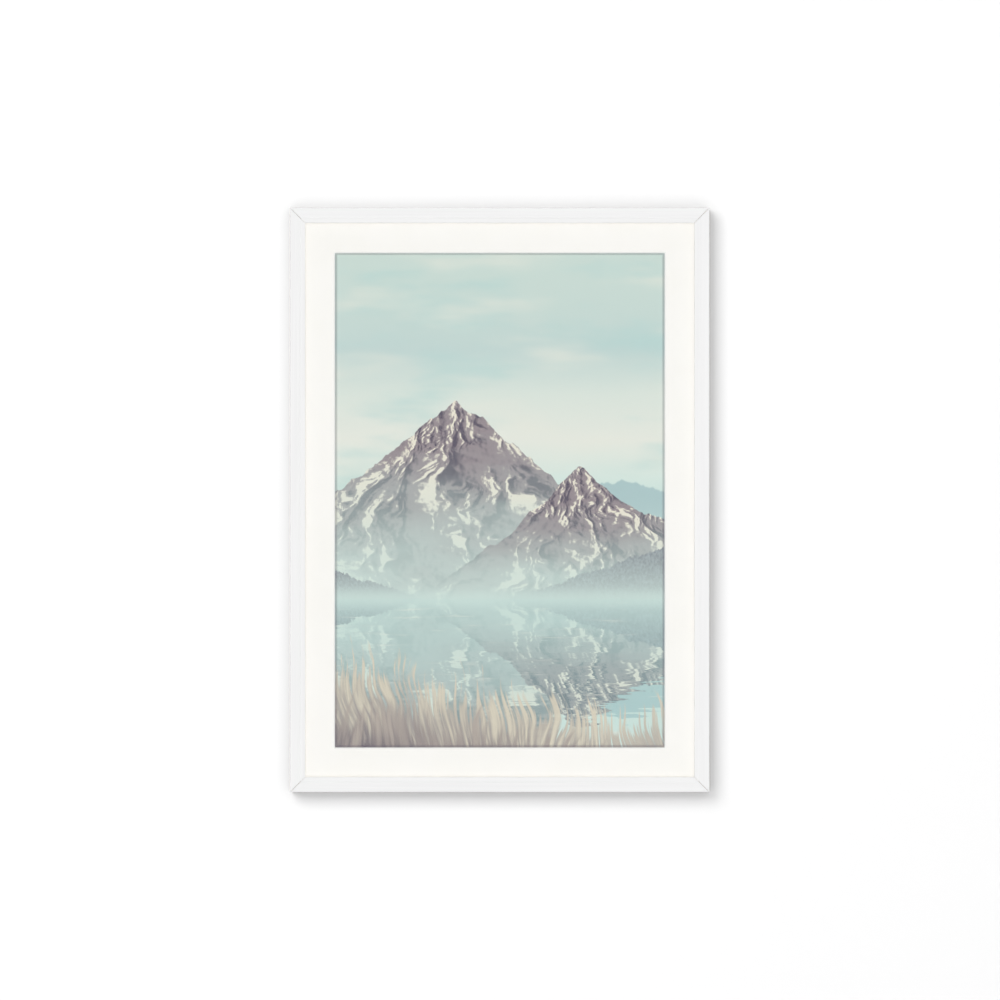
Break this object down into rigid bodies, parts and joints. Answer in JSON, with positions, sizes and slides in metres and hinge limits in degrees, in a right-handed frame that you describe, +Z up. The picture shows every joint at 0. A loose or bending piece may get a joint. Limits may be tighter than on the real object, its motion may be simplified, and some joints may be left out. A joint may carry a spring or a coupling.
{
  "type": "framed picture",
  "caption": "Upright wall picture: mitred white wood frame, clear sheet, warm white bevel-cut mat and a printed sheet, with a sawtooth hanger behind.",
  "frame": {"origin": "on the wall plane, where the wall hook sits in the middle notch of the sawtooth hanger", "axes": "+Z up along the picture's height, -Y the way the picture faces, +Y into the wall, +X to the viewer's right"},
  "size_m": [0.508, 0.0248, 0.708],
  "materials": {
    "white_painted_wood": "satin white paint over fine straight grain, brushed along each stick",
    "clear_glazing": "clear flat sheet, polished",
    "mat_card": "warm white smooth card with a white core at the bevel",
    "printed_paper": "matt print in pale aqua, cream and grey-plum",
    "mount_card": "plain off-white card",
    "fibreboard": "brown pressed fibreboard, fine mottled fibres",
    "plated_steel": "thin zinc-plated strip steel, faintly dulled",
    "brassed_steel": "brass-plated pressed steel",
    "bumper_rubber": "soft translucent grey rubber, matt"
  },
  "bodies": {
    "root": {"rail_bottom": "white_painted_wood", "rail_top": "white_painted_wood", "stile_left": "white_painted_wood", "stile_right": "white_painted_wood", "glazing": "clear_glazing", "mat": "mat_card", "print_sheet": "printed_paper", "mount_board": "mount_card", "backing_board": "fibreboard", "point_bottom_1": "plated_steel", "point_bottom_2": "plated_steel", "point_bottom_3": "plated_steel", "point_bottom_4": "plated_steel", "point_left_1": "plated_steel", "point_left_2": "plated_steel", "point_left_3": "plated_steel", "point_left_4": "plated_steel", "point_left_5": "plated_steel", "point_top_1": "plated_steel", "point_top_2": "plated_steel", "point_top_3": "plated_steel", "point_top_4": "plated_steel", "point_right_1": "plated_steel", "point_right_2": "plated_steel", "point_right_3": "plated_steel", "point_right_4": "plated_steel", "point_right_5": "plated_steel", "v_nail_bottom_left": "plated_steel", "v_nail_bottom_right": "plated_steel", "v_nail_top_left": "plated_steel", "v_nail_top_right": "plated_steel", "sawtooth_hanger": "brassed_steel", "hanger_nail_left": "brassed_steel", "hanger_nail_right": "brassed_steel", "bumper_left": "bumper_rubber", "bumper_right": "bumper_rubber"}
  },
  "joints": []
}
